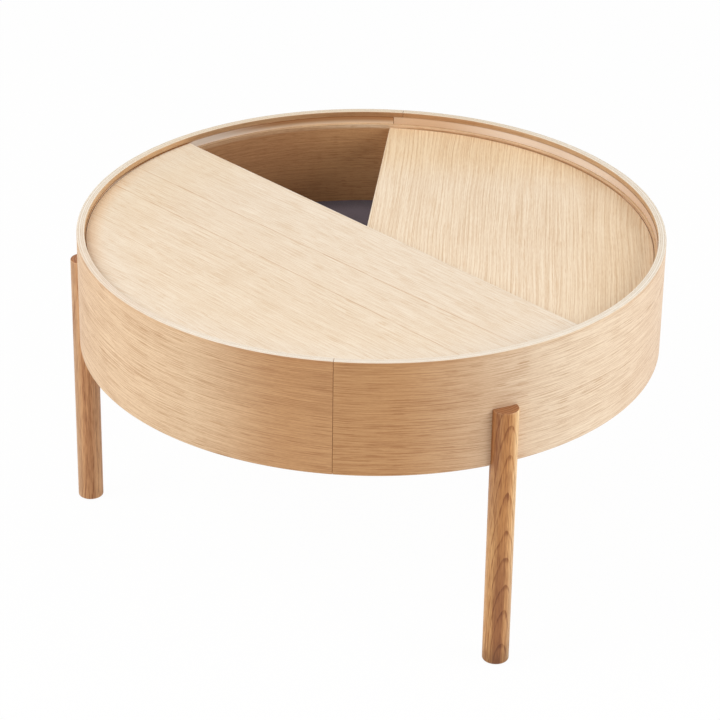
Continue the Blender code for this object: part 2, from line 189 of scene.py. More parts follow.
# Facets: steps in half a turn of the drum, in a full turn of legs and small pieces, in an edge round.
DRUM_STEPS = 120
LEAST_STEPS = 6
LEG_STEPS = 72
SMALL_STEPS = 32
ROUND_STEPS = 4
END_STEPS = 3
SHARP_DEG = 40.0
EDGE_SOFT_DEG = 8.0
EDGE_FULL_DEG = 20.0
FACE_MARGIN = 0.0008
ROW_PITCH = 0.012
MERGE = 0.000002
CUT_SPARE = 0.004

# How far up a face looks that counts as an edge of the hoop or end of a leg, a ledge, or a board's face.
END_FACING = 0.75
LEDGE_FACING = 0.3
BOARD_FACING = 0.6

# Camera: the photo's view of the rim's centre, for a square picture.
PICTURE_SIZE = 720.0
SENSOR_WIDTH = 36.0
FOCAL_PIXELS = 2953.0
CAMERA_DISTANCE = 3.314
CAMERA_AZIMUTH_DEG = 6.606
CAMERA_ELEVATION_DEG = 28.017
CAMERA_ROLL_DEG = 0.881
RIM_CENTRE_PIXEL = (371.56, 224.76)
CLIP_NEAR = 0.05
CLIP_FAR = 200.0

# Veneer: how far its figure wanders across the grain, how far its growth rings waver, the paler colour
# of its edges (partly wear, partly a painted highlight), and tints where leaves and half hoops meet.
VENEER_WANDER = 0.024
RING_WAVER = 1.6
VENEER_EDGE = (0.90, 0.83, 0.72)
LEAF_JOINT_TINT = (0.70, 0.50, 0.32)
SEAM_TINT = (0.60, 0.42, 0.28)

# Steps along the grain that give pieces of one material each their own figure.
LINER_SHIFT = 7.0
BASE_SHIFT = 20.0
CLEAT_SHIFT = 3.0

# Studio light: each soft box's azimuth and elevation in degrees, and its watts.
AMBIENT = (0.51, 0.49, 0.46)
WHITE = (1.0, 1.0, 1.0)
LAMP_DISTANCE = 2.6
LAMP_SIZE = 1.5
LAMP_AIM_Z = 0.3
LAMPS = {"left_box": (-152.0, 38.0, 37.0), "right_box": (-16.0, 25.0, 33.0)}
FLOOR_RADIUS = 40.0
FLOOR_STEPS = 64
FLOOR_GLOW = 0.975


def polar(radius, turn, height=0.0):
    return Vector((radius * math.cos(turn), radius * math.sin(turn), height))


def arc_round(centre_r, centre_z, size, start_deg):
    """Points of a quarter round about a centre in the (radius, height) plane."""
    points = []
    for step in range(ROUND_STEPS + 1):
        angle = math.radians(start_deg + 90 * step / ROUND_STEPS)
        points.append((centre_r + size * math.cos(angle), centre_z + size * math.sin(angle)))
    return points


def box_corners(inner, outer, low, high, size):
    """The four edge rounds of a (radius, height) section, counter-clockwise from the lower inner one."""
    near, far, under, over = inner + size, outer - size, low + size, high - size
    centres = ((near, under, 180), (far, under, 270), (far, over, 0), (near, over, 90))
    return [arc_round(r, z, size, start_deg) for r, z, start_deg in centres]


def supported(points, closed):
    """The same outline, with points added just inside the ends of its long runs and along them."""
    ends = points[1:] + points[:1] if closed else points[1:]
    answer = []
    for first, second in zip(points, ends):
        answer.append(first)
        length = math.dist(first, second)
        if length < 4 * FACE_MARGIN:
            continue
        rows = int(length / ROW_PITCH) + 1
        for row in range(rows + 1):
            share = (FACE_MARGIN + (length - 2 * FACE_MARGIN) * row / rows) / length
            answer.append(tuple(a + (b - a) * share for a, b in zip(first, second)))
    if not closed:
        answer.append(points[-1])
    return answer


def stacked(rings):
    """A closed solid through rings of as many points, closed at both ends."""
    bm = bmesh.new()
    made = [[bm.verts.new(point) for point in ring] for ring in rings]
    count = len(made[0])
    for first, second in zip(made, made[1:]):
        for index in range(count):
            after = (index + 1) % count
            bm.faces.new((first[index], first[after], second[after], second[index]))
    bm.faces.new(reversed(made[0]))
    bm.faces.new(made[-1])
    return bm


def swept(profile, start, end, end_round):
    """A solid swept by a closed (radius, height) section about Z, with softened ends."""
    profile = supported(profile, closed=True)
    radii, heights = zip(*profile)
    low_r, high_r, low_z, high_z = min(radii), max(radii), min(heights), max(heights)
    softened = []
    for step in range(END_STEPS + 1):
        angle = math.pi / 2 * step / END_STEPS
        softened.append((end_round * (1 - math.cos(angle)) / low_r, end_round * (1 - math.sin(angle))))
    spare = (end_round + FACE_MARGIN) / low_r
    softened.append((spare, 0.0))
    steps = max(LEAST_STEPS, round(DRUM_STEPS * (end - start) / math.pi))
    stations = [(start + along, inset) for along, inset in softened]
    for step in range(1, steps):
        stations.append((start + spare + (end - start - 2 * spare) * step / steps, 0.0))
    stations += [(end - along, inset) for along, inset in reversed(softened)]
    rings = []
    for turn, inset in stations:
        ring = []
        for r, z in profile:
            r = min(max(r, low_r + inset), high_r - inset)
            z = min(max(z, low_z + inset), high_z - inset)
            ring.append(polar(r, turn, z))
        rings.append(ring)
    return stacked(rings)


def turned(profile, steps):
    """A solid turned about Z from (radius, height) points, none of them on the axis."""
    turns = [2 * math.pi * step / steps for step in range(steps)]
    outline = supported(profile, closed=False)
    return stacked([[polar(r, turn, z) for turn in turns] for r, z in outline])


def disc_profile(radius, low, high, low_round, high_round):
    """Points of a round board's half section, from under it to its upper face."""
    return [
        (radius - low_round - FACE_MARGIN, low),
        *arc_round(radius - low_round, low + low_round, low_round, 270),
        *arc_round(radius - high_round, high - high_round, high_round, 0),
        (radius - high_round - FACE_MARGIN, high),
    ]


def half_round_outline(radius, edge, inset, height):
    """A half-round outline on the -X side, drawn in from its edge by inset."""
    reach, straight = radius - inset, edge - inset
    corner = math.acos(straight / reach)
    margin = FACE_MARGIN / reach
    turns = [corner, corner + margin]
    for step in range(1, DRUM_STEPS):
        turns.append(corner + 2 * (math.pi - corner) * step / DRUM_STEPS)
    turns += [2 * math.pi - corner - margin, 2 * math.pi - corner]
    points = [polar(reach, turn, height) for turn in turns]
    first, last = points[-1], points[0]
    length = (last - first).length
    pieces = DRUM_STEPS // 3
    for step in range(pieces + 1):
        share = (FACE_MARGIN + (length - 2 * FACE_MARGIN) * step / pieces) / length
        points.append(first.lerp(last, share))
    return points


def half_round_board(radius, edge, low, high):
    """A half-round board on the -X side with rounded edges."""
    profile = supported(disc_profile(0.0, low, high, TOP_UNDER_ROUND, TOP_EDGE_ROUND), closed=False)
    return stacked([half_round_outline(radius, edge, -out, height) for out, height in profile])


def rod(radius, low, high, steps=SMALL_STEPS):
    """A plain round cutter along Z."""
    bm = bmesh.new()
    lift = Matrix.Translation((0.0, 0.0, (low + high) / 2))
    bmesh.ops.create_cone(
        bm, cap_ends=True, segments=steps, radius1=radius, radius2=radius, depth=high - low, matrix=lift
    )
    return bm


def block(size, middle):
    bm = bmesh.new()
    bmesh.ops.create_cube(bm, size=1.0)
    bmesh.ops.scale(bm, verts=bm.verts, vec=size)
    bmesh.ops.translate(bm, verts=bm.verts, vec=middle)
    return bm


def placed(bm, matrix):
    bmesh.ops.transform(bm, matrix=matrix, verts=bm.verts)
    return bm


def turned_by(degrees):
    return Matrix.Rotation(math.radians(degrees), 4, "Z")


def outward(turn, height):
    """The place of a piece drawn along Z that is to point away from the drum's axis."""
    lift = Matrix.Translation((0.0, 0.0, height))
    return lift @ Matrix.Rotation(turn, 4, "Z") @ Matrix.Rotation(math.pi / 2, 4, "Y")


def mesh_object(name, bm):
    bmesh.ops.remove_doubles(bm, verts=bm.verts, dist=MERGE)
    bmesh.ops.dissolve_degenerate(bm, edges=bm.edges, dist=MERGE)
    bmesh.ops.recalc_face_normals(bm, faces=bm.faces)
    mesh = bpy.data.meshes.new(name)
    bm.to_mesh(mesh)
    bm.free()
    made = bpy.data.objects.new(name, mesh)
    bpy.context.scene.collection.objects.link(made)
    return made


def cut(piece, cutters):
    """Takes the cutters out of a piece, and leaves a plain mesh."""
    for number, cutter_mesh in enumerate(cutters):
        cutter = mesh_object(f"{piece.name}_cutter_{number}", cutter_mesh)
        boolean = piece.modifiers.new("cut", "BOOLEAN")
        boolean.operation = "DIFFERENCE"
        boolean.solver = "EXACT"
        boolean.object = cutter
        depsgraph = bpy.context.evaluated_depsgraph_get()
        result = bpy.data.meshes.new_from_object(piece.evaluated_get(depsgraph))
        piece.modifiers.clear()
        spare = piece.data
        piece.data = result
        result.name = piece.name
        bpy.data.meshes.remove(spare)
        bpy.data.objects.remove(cutter)


def edge_share(vert):
    """0 on flat and gently curved faces, 1 on an edge or an edge round."""
    normals = [face.normal for face in vert.link_faces]
    widest = max((first.angle(second, 0.0) for first in normals for second in normals), default=0.0)
    share = (math.degrees(widest) - EDGE_SOFT_DEG) / (EDGE_FULL_DEG - EDGE_SOFT_DEG)
    return min(max(share, 0.0), 1.0)


def make(name, shape, node, looks, grain, cutters=(), place=None, face_slot=None, plain=None,
         body="drum"):
    """Cuts a shape, gives it its grain, edges and materials, moves it into place and makes it ride.

    grain turns a point into (along, across, depth), face_slot turns a face into a material number,
    and plain says where a point gets no paler edge, which is partly wear and partly a painted highlight.
    """
    piece = mesh_object(name, shape)
    cut(piece, cutters)
    bm = bmesh.new()
    bm.from_mesh(piece.data)
    bm.normal_update()
    grain_layer = bm.verts.layers.float_vector.new("grain")
    edge_layer = bm.verts.layers.float.new("edge")
    sharp = math.radians(SHARP_DEG)
    for vert in bm.verts:
        vert[grain_layer] = grain(vert.co)
        vert[edge_layer] = 0.0 if plain and plain(vert.co) else edge_share(vert)
    for edge in bm.edges:
        edge.smooth = len(edge.link_faces) == 2 and edge.calc_face_angle(0.0) < sharp
    for face in bm.faces:
        face.smooth = True
        face.material_index = face_slot(face) if face_slot else 0
    shift = Matrix.Translation((AXIS_X, 0.0, 0.0))
    placed(bm, shift @ (place or Matrix.Identity(4)))
    piece.data.materials.clear()
    bm.to_mesh(piece.data)
    bm.free()
    for look in looks:
        piece.data.materials.append(bpy.data.materials[look])
    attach(piece, body)
    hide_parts(node)
    return piece


class Value:
    """A node's output in a look, with short names for the nodes that work on it."""

    def __init__(self, look, socket):
        self.look = look
        self.socket = socket

    def math(self, operation, other=0.0):
        return self.look.add("ShaderNodeMath", {0: self, 1: other}, operation=operation)

    def __add__(self, other):
        return self.math("ADD", other)

    def __sub__(self, other):
        return self.math("SUBTRACT", other)

    def __mul__(self, other):
        return self.math("MULTIPLY", other)

    def __truediv__(self, other):
        return self.math("DIVIDE", other)

    def __abs__(self):
        return self.math("ABSOLUTE")

    def fract(self):
        return self.math("FRACT")

    def reach(self, other):
        """The length of a step with these two sides."""
        return (self * self + other * other).math("SQRT")

    def part(self, axis):
        return self.look.add("ShaderNodeSeparateXYZ", {0: self}, axis)

    def noise(self, scale, detail=2.0, roughness=0.5, distortion=0.0):
        """Noise from 0 to 1, with this many cells in a metre along each axis."""
        inputs = {
            "Vector": self.look.add("ShaderNodeMapping", {"Vector": self, "Scale": scale}),
            "Scale": 1.0,
            "Detail": detail,
            "Roughness": roughness,
            "Distortion": distortion,
        }
        return self.look.add("ShaderNodeTexNoise", inputs)

    def patch(self, scale, detail=2.0, roughness=0.5):
        """Noise with its middle range spread from 0 to 1."""
        return self.noise(scale, detail, roughness).fit(0.32, 0.68)

    def fit(self, low, high, to_low=0.0, to_high=1.0, **settings):
        """This value from low to high, laid out from to_low to to_high and held there."""
        inputs = {"Value": self, 1: low, 2: high, 3: to_low, 4: to_high}
        return self.look.add("ShaderNodeMapRange", inputs, clamp=True, **settings)

    def ease(self, *span):
        """As fit, with a soft start and end."""
        return self.fit(*span, interpolation_type="SMOOTHSTEP")

    def spread(self, to_low, to_high):
        return self.fit(0.0, 1.0, to_low, to_high)


class Look:
    """A material, or a world, with one shader and the nodes that feed it."""

    def __init__(self, name, owners=bpy.data.materials, shader="Principled BSDF"):
        self.owner = owners.new(name)
        self.owner.use_nodes = True
        self.tree = self.owner.node_tree
        self.shader = self.tree.nodes[shader]

    def set(self, **values):
        for name, value in values.items():
            self.feed(value, self.shader.inputs[name.replace("_", " ")])

    def feed(self, value, socket):
        if isinstance(value, Value):
            self.tree.links.new(value.socket, socket)
        elif isinstance(value, tuple) and socket.type == "RGBA":
            socket.default_value = (*value, 1.0)
        else:
            socket.default_value = value

    def add(self, kind, inputs, output=0, **settings):
        node = self.tree.nodes.new(kind)
        for name, value in settings.items():
            setattr(node, name, value)
        for key, value in inputs.items():
            self.feed(value, node.inputs[key])
        return Value(self, node.outputs[output])

    def grain(self):
        return self.add("ShaderNodeAttribute", {}, "Vector", attribute_name="grain")

    def edge(self):
        return self.add("ShaderNodeAttribute", {}, "Fac", attribute_name="edge")

    def place(self):
        return self.add("ShaderNodeTexCoord", {}, "Object")

    def joined(self, x, y, z=0.0):
        return self.add("ShaderNodeCombineXYZ", {0: x, 1: y, 2: z})

    def mix(self, share, first, second, blend="MIX"):
        inputs = {0: share, 6: first, 7: second}
        settings = {"data_type": "RGBA", "blend_type": blend, "clamp_factor": True}
        return self.add("ShaderNodeMix", inputs, 2, **settings)

    def stain(self, share, colour, tint):
        """The colour, multiplied by a tint as far as share goes."""
        return self.mix(share, colour, tint, "MULTIPLY")

    def shade(self, colour, vector, shades):
        """The colour, multiplied by each shade's tint as far as its limits on the vector hold. The tints
        are
        painted by place: most of them paint shade and light, some the wood's own tone.

        A shade is (tint, limit, ...). A limit is an axis and the span of an ease over it. The axis is
        a part of the vector, "far" for the size of its first part, or "rim" for the length of its
        first two.
        """
        for tint, *limits in shades:
            share = None
            for axis, *span in limits:
                if axis == "far":
                    spot = abs(vector.part(0))
                elif axis == "rim":
                    spot = vector.part(0).reach(vector.part(1))
                else:
                    spot = vector.part(axis)
                held = spot.ease(*span)
                share = held if share is None else share * held
            colour = self.stain(share, colour, tint)
        return colour

    def total(self, *terms):
        """A weighted sum of (value, weight) terms, each taken about one half, held from 0 to 1."""
        answer = 0.5
        for value, weight in terms:
            answer = (value - 0.5) * weight + answer
        return answer.fit(0.0, 1.0)

    def finish(self, colour, rough, height, distance, strength=0.5):
        inputs = {"Height": height, "Distance": distance, "Strength": strength}
        self.set(Base_Color=colour, Roughness=rough, Normal=self.add("ShaderNodeBump", inputs))


def growth_rings(leaf, pitch):
    """Growth rings on a sliced face: each starts dark with early wood and pales across itself."""
    ring = (leaf.part(1) / pitch + leaf.noise((1.2, 60.0, 0.0)) * RING_WAVER).fract()
    return ring.ease(0.0, 0.14) * ring.ease(0.16, 0.72, 1.0, 0.0)


def leaf_joint(grain, offset, lean, start, end, depth):
    """How dark a soft, broken line is where two leaves of veneer meet."""
    along, across = grain.part(0), grain.part(1)
    waver = grain.noise((16.0, 3.0, 0.0)) - 0.5
    line = across - along * lean - offset + waver * 0.0016
    dark = abs(line).ease(0.0002, 0.0011, 1.0, 0.0)
    broken = grain.noise((38.0, 5.0, 0.0)).fit(0.40, 0.60, 0.45, 1.0)
    fade = along.ease(start, start + 0.06) * along.ease(end - 0.06, end, 1.0, 0.0)
    return dark * broken * fade * depth


def veneer(name, pale, deep, bands=0.4, streaks=0.5, fibres=0.4, rings=0.0, ring_pitch=0.0046,
           dashes=0.5, dash_pitch=0.022, dash_tint=(0.72, 0.60, 0.48), stretch=1.0, slope=0.0,
           leaf_joints=(), shades=(), seam=None, edge_light=0.3, rough=0.5):
    """Sliced oak: broad bands, streaks, growth rings, fibres, and dark pores that run with the grain."""
    look = Look(name)
    grain = look.grain()
    along, across = grain.part(0), grain.part(1)
    drift = grain.noise((2.2, 5.0, 0.0)) - 0.5
    leaf = look.joined(along, across + drift * VENEER_WANDER + along * slope)
    band = leaf.patch((0.9, 38.0, 0.0), detail=3.0)
    streak = leaf.patch((3.5, 400.0, 0.0), roughness=0.55)
    fibre = leaf.patch((20.0 / stretch, 950.0, 0.0), roughness=0.6)
    speck = leaf.patch((320.0 / stretch, 1000.0, 0.0), detail=1.0)
    cloud = grain.patch((3.0, 9.0, 0.0), detail=3.0)
    broken = leaf.noise((30.0 / stretch, 420.0, 0.0)).fit(0.35, 0.60, 0.25, 1.0)
    early = growth_rings(leaf, ring_pitch) * broken
    terms = [(band, bands), (streak, streaks), (fibre, fibres), (speck, fibres * 0.4), (cloud, 0.25)]
    tone = look.total(*terms, (early, rings))
    colour = look.shade(look.mix(tone, pale, deep), grain, shades)
    for joint in leaf_joints:
        colour = look.stain(leaf_joint(grain, *joint), colour, LEAF_JOINT_TINT)
    dash = leaf.noise((1.0 / dash_pitch, 1000.0, 0.0), detail=1.0).ease(0.53, 0.66)
    fleck = leaf.noise((2.2 / dash_pitch, 1100.0, 0.0), detail=0.0).ease(0.60, 0.70)
    crowd = leaf.patch((3.0, 45.0, 0.0)).spread(0.5, 1.0)
    pore = dash.math("MAXIMUM", fleck) * crowd
    colour = look.stain(pore * dashes, colour, dash_tint)
    if seam:
        at_seam = abs(along).ease(seam - 0.0007, seam - 0.0002, 0.0, 0.3)
        colour = look.stain(at_seam, colour, SEAM_TINT)
    # Edges and edge rounds are paler: partly wear, partly a painted highlight.
    colour = look.mix(look.edge() * edge_light, colour, VENEER_EDGE)
    look.finish(colour, tone.spread(rough - 0.05, rough + 0.08), fibre * 0.35 - pore, 0.00010)


def ply_edge(name, first, pitch, pale, deep, glue_share, shades=(), sides=()):
    """The edge of plywood: plies in the grain's depth, every other one end on, with glue lines.

    shades have limits on the grain, and sides have them on the place in the object.
    """
    look = Look(name)
    grain = look.grain()
    depth = (grain.part(2) - first) / pitch
    within = depth.fract()
    every_other = (depth * 0.5).fract().math("GREATER_THAN", 0.5)
    glue = within.ease(0.0, 0.12, 1.0, 0.0) + within.ease(0.88, 1.0)
    streak = grain.patch((40.0, 300.0, 300.0))
    specks = grain.patch((70.0, 400.0, 400.0))
    wear = grain.patch((9.0, 40.0, 0.0), detail=3.0).spread(0.4, 1.0)
    end_on = look.mix(streak, pale, look.mix(0.3, pale, deep))
    lengthwise = look.mix(specks, look.mix(0.4, pale, deep), deep)
    colour = look.mix(every_other, end_on, lengthwise)
    colour = look.mix(glue * glue_share * wear, colour, (0.46, 0.38, 0.29))
    colour = look.shade(colour, grain, shades)
    colour = look.shade(colour, look.place(), sides)
    look.finish(colour, specks.spread(0.50, 0.66), specks * 0.3 - glue, 0.00012)


def solid_oak(name, pale, deep, pith, lean, ring_pitch, shift, rings, broad, shades=()):
    """Solid oak: growth rings about a leaning pith, with pores in each ring's early wood."""
    look = Look(name)
    grain = look.grain()
    along, across, depth = (grain.part(axis) for axis in range(3))
    moved = look.joined(along + shift, across, depth)
    bend = moved.noise((9.0, 45.0, 45.0)) - 0.5
    aside = across + pith[0] + along * lean[0]
    reach = aside.reach(depth + pith[1] + along * lean[1]) + bend * (ring_pitch * 1.5)
    ring = (reach / ring_pitch).fract()
    early = ring.ease(0.0, 0.04) * ring.ease(0.04, 0.26, 1.0, 0.0)
    fibre = moved.patch((60.0, 800.0, 800.0), roughness=0.6)
    streak = moved.patch((6.0, 300.0, 300.0))
    cloud = moved.patch((3.0, 70.0, 70.0))
    tone = look.total((early, rings), (fibre, 0.85), (streak, 0.65), (cloud, broad))
    colour = look.shade(look.mix(tone, pale, deep), grain, shades)
    dash = moved.noise((70.0, 1000.0, 1000.0), detail=1.0).ease(0.48, 0.62)
    pore = dash * early.fit(0.0, 0.8, 0.15, 1.0)
    colour = look.stain(pore * 0.7, colour, (0.53, 0.37, 0.22))
    # A faint paler line on edges: partly wear, partly a painted highlight.
    colour = look.mix(look.edge() * 0.06, colour, (0.78, 0.58, 0.40))
    look.finish(colour, tone.spread(0.42, 0.56), fibre * 0.3 - pore, 0.00012)


def end_grain(name, pale, deep, pith, ring_pitch):
    """The sawn and sanded end of a leg: ring arcs dotted with open pores, and rays across them."""
    look = Look(name)
    grain = look.grain()
    across, depth = grain.part(1), grain.part(2)
    flat = look.joined(across, depth)
    bend = flat.noise((60.0, 60.0, 0.0)) - 0.5
    reach = (across + pith[0]).reach(depth + pith[1]) + bend * ring_pitch
    ring = (reach / ring_pitch).fract()
    early = ring.ease(0.0, 0.15) * ring.ease(0.2, 0.8, 1.0, 0.0)
    rays = flat.patch((60.0, 900.0, 0.0))
    tone = look.total((early, 0.8), (rays, 0.4))
    dots = flat.noise((1500.0, 1500.0, 0.0), detail=1.0).ease(0.50, 0.66)
    pore = dots * early.spread(0.3, 1.0)
    colour = look.stain(pore, look.mix(tone, pale, deep), (0.60, 0.46, 0.36))
    look.finish(colour, tone.spread(0.50, 0.64), pore, -0.00012)


def planed_wood(name, pale, deep):
    """Plain unfinished hardwood for the carriers inside the store."""
    look = Look(name)
    grain = look.grain()
    streak = grain.patch((5.0, 160.0, 160.0), detail=3.0, roughness=0.6)
    fibre = grain.patch((30.0, 1400.0, 1400.0))
    colour = look.mix(look.total((streak, 0.8), (fibre, 0.4)), pale, deep)
    colour = look.mix(look.edge() * 0.3, colour, (0.80, 0.66, 0.48))
    look.finish(colour, fibre.spread(0.60, 0.75), fibre, 0.00010)


def strip_look(name, pale, deep):
    """The satin guide strip: extruded along its length, with faint draw lines, a duller top edge, and
    painted shade and shadow toward its top.
    """
    look = Look(name)
    grain = look.grain()
    draw = grain.patch((3.0, 900.0, 900.0), detail=3.0)
    cloud = grain.patch((6.0, 20.0, 0.0))
    upper = (0.3722, 0.3730)
    shades = (
        ((0.82, 0.68, 0.54), (0, 0.86, 0.96)),
        # Painted shade: darker toward its top over the store.
        ((0.57, 0.37, 0.23), (0, -0.74, -0.87), (1, 0.3655, 0.3715)),
        ((0.95, 0.85, 0.71), (0, -0.78, -0.88)),
        ((0.90, 0.80, 0.72), (0, -0.40, 0.0), (0, 0.72, 0.60)),
        # Painted shadow: a dark line along its top edge, deeper where it runs under the turning top's edge
        # and by its corner.
        ((0.50, 0.36, 0.25), (1, 0.3730, 0.3737), (0, -0.54, -0.62, 0.25, 0.8)),
        ((0.95, 0.70, 0.45), (1, *upper), (0, -0.62, -0.54), (0, 0.27, 0.15)),
        ((0.46, 0.25, 0.09), (1, *upper), (0, -0.75, -0.735), (0, -0.57, -0.66)),
    )
    colour = look.mix(look.total((draw, 0.4), (cloud, 0.7)), pale, deep)
    colour = look.shade(colour, grain, shades)
    look.set(Specular_IOR_Level=grain.part(1).ease(*upper, 0.5, 0.1))
    look.finish(colour, draw.spread(0.28, 0.40), draw, 0.00004, 0.4)


def felt_look(name, deep, pale):
    """Wool felt: matted fibres in two directions, with paler flecks, and painted shade under the store's
    wall.
    """
    look = Look(name)
    grain = look.grain()
    matted = {"detail": 3.0, "roughness": 0.7, "distortion": 1.5}
    first = grain.noise((420.0, 1500.0, 900.0), **matted)
    second = grain.noise((1500.0, 420.0, 900.0), **matted)
    mat = ((first + second) * 0.5).fit(0.38, 0.62)
    cloud = grain.patch((14.0, 14.0, 0.0), detail=4.0)
    fleck = grain.noise((900.0, 2600.0, 0.0), detail=1.0).ease(0.66, 0.74)
    colour = look.mix(look.total((mat, 0.8), (cloud, 0.4)), deep, pale)
    colour = look.mix(fleck * 0.4, colour, (0.34, 0.31, 0.35))
    # Painted shade: darker toward the store's wall, at the felt's edge.
    colour = look.shade(colour, grain, (((0.52, 0.49, 0.50), ("rim", 0.282, 0.316)),))
    look.set(Sheen_Weight=0.08, Sheen_Roughness=0.6)
    look.finish(colour, mat.spread(0.86, 0.98), mat, 0.0005, 0.6)


def gritty_look(name, first, second, clouds, grit, rough, distance, metallic=0.0, **fineness):
    """Moulded nylon or plated steel: clouds of two colours under a fine grit."""
    look = Look(name)
    place = look.place()
    cloud = place.patch((clouds, clouds, clouds), detail=3.0)
    fine = place.noise((grit, grit, grit), **fineness)
    look.set(Metallic=metallic)
    look.finish(look.mix(cloud, first, second), fine.fit(0.3, 0.7, *rough), fine, distance)


def hoop_section():
    """The hoop's section: rounded edges, hairlines between the rim's plies, and the base's groove."""
    rim = []
    for number in range(1, PLY_COUNT):
        line = HOOP_OUTER - number * RIM_PLY
        rim.append((line + PLY_LINE_WIDTH / 2, RIM_Z))
        rim.append((line, RIM_Z - PLY_LINE_DEPTH))
        rim.append((line - PLY_LINE_WIDTH / 2, RIM_Z))
    corners = box_corners(HOOP_INNER, HOOP_OUTER, HOOP_BASE_Z, RIM_Z, HOOP_EDGE_ROUND)
    corners.insert(3, rim)
    low, high = BASE_Z - SEAT_GAP, BASE_TOP_Z + SEAT_GAP
    corners.append([(HOOP_INNER, high), (GROOVE_RADIUS, high), (GROOVE_RADIUS, low), (HOOP_INNER, low)])
    return sum(corners, [])


def round_grain(middle, radius, base_radius, shift=0.0):
    """Grain that runs round the drum: along the arc from middle, up, and outward."""
    facing = Matrix.Rotation(-middle, 3, "Z")

    def grain(point):
        local = facing @ point
        angle = math.atan2(local.y, local.x)
        return Vector((radius * angle + shift, point.z, math.hypot(point.x, point.y) - base_radius))

    return grain


def point_itself(point):
    return point.copy()


def along_y(point):
    return Vector((point.y, point.x, point.z))


def bolt_cutters(turns, radius, near, far):
    """Cutters for both bolts of the legs at these turns, between two distances from the axis."""
    cutters = []
    for turn in turns:
        for height in BOLT_HEIGHTS.values():
            cutters.append(placed(rod(radius, near, far), outward(turn, height)))
    return cutters


def wall_holes(middle, inner, outer):
    """Cutters for the bolts through the half ring about this middle."""
    turns = [turn for turn in LEGS.values() if math.cos(turn - middle) > 0]
    return bolt_cutters(turns, BOLT_HOLE_RADIUS, inner - CUT_SPARE, outer + CUT_SPARE)


def near_bolts(point):
    """Whether a point of the drum's wall is beside a bolt hole."""
    reach = math.hypot(point.x, point.y)
    for turn in LEGS.values():
        for height in BOLT_HEIGHTS.values():
            if (polar(reach, turn, height) - point).length < BOLT_CLEAR_RADIUS:
                return True
    return False


def hoop_plain(point):
    """Whether a point of the hoop is beside a bolt hole, or in the mouth of a seam below the rim."""
    in_seam = abs(point.x) < 2 * FACE_MARGIN and point.z < RIM_Z - HOOP_EDGE_ROUND
    return in_seam or near_bolts(point)


def hoop_face(face):
    """0 for the outer face, 1 for the rim and lower edge, 2 for the inner face."""
    if abs(face.normal.z) > END_FACING:
        return 1
    middle = face.calc_center_median()
    facing_in = face.normal.x * middle.x + face.normal.y * middle.y < 0
    return 2 if facing_in else 0


def build_hoop():
    """Two bent half hoops, veneered outside and in, with their plies showing on the rim."""
    half_gap = SEAT_GAP / 2 / HOOP_INNER
    for name, middle in (("right", 0.0), ("left", math.pi)):
        start = middle - math.pi / 2 + half_gap
        shell = swept(hoop_section(), start, start + math.pi - 2 * half_gap, SEAM_ROUND)
        looks = ("oak_veneer_hoop_" + name, "oak_ply_rim", "oak_veneer_inside_" + name)
        grain = round_grain(middle, HOOP_OUTER, HOOP_INNER)
        holes = wall_holes(middle, HOOP_INNER, HOOP_OUTER)
        make("bent_hoop_" + name, shell, "hoop_" + name, looks, grain, holes,
             face_slot=hoop_face, plain=hoop_plain)


def ledge_face(face):
    """1 for the liner's upper edge, 0 for the rest of it."""
    return 1 if face.normal.z > LEDGE_FACING else 0


def build_liner():
    """Two half rings that line the store and carry the turning top on their rounded upper edge."""
    half_gap = SEAT_GAP / 2 / LINER_INNER
    corners = box_corners(LINER_INNER, LINER_OUTER, BASE_TOP_Z + SEAT_GAP, LEDGE_Z, LINER_ROUND)
    corners[2] = [(LINER_OUTER, LEDGE_Z)]
    joint = math.radians(LINER_JOINT_DEG)
    for name, first in (("back", joint), ("front", joint + math.pi)):
        ring = swept(sum(corners, []), first + half_gap, first + math.pi - half_gap, SEAM_ROUND)
        middle = first + math.pi / 2
        grain = round_grain(middle, LINER_INNER, LINER_INNER, LINER_SHIFT)
        holes = wall_holes(middle, LINER_INNER, LINER_OUTER)
        make("store_liner_" + name, ring, "liner_" + name, ("oak_ply_liner", "oak_ply_ledge"),
             grain, holes, face_slot=ledge_face, plain=near_bolts)


def build_strip():
    """The guide strip round the turning top, with one butt joint."""
    half_gap = STRIP_JOINT_GAP / 2 / STRIP_INNER
    joint = math.radians(STRIP_JOINT_DEG)
    corners = box_corners(STRIP_INNER, STRIP_OUTER, LEDGE_Z + GLUE_GAP, STRIP_TOP_Z, STRIP_ROUND)
    band = swept(sum(corners, []), joint + half_gap, joint + 2 * math.pi - half_gap, STRIP_ROUND)
    grain = round_grain(joint + math.pi, STRIP_INNER, STRIP_INNER)
    make("guide_band", band, "guide_strip", ("satin_strip",), grain)


def build_base():
    """The base panel in the hoop's groove."""
    profile = disc_profile(BASE_RADIUS, BASE_Z, BASE_TOP_Z, BASE_ROUND, BASE_ROUND)

    def grain(point):
        return Vector((point.x + BASE_SHIFT, point.y, point.z))

    make("store_base", turned(profile, 2 * DRUM_STEPS), "base_panel", ("oak_ply_base",), grain)


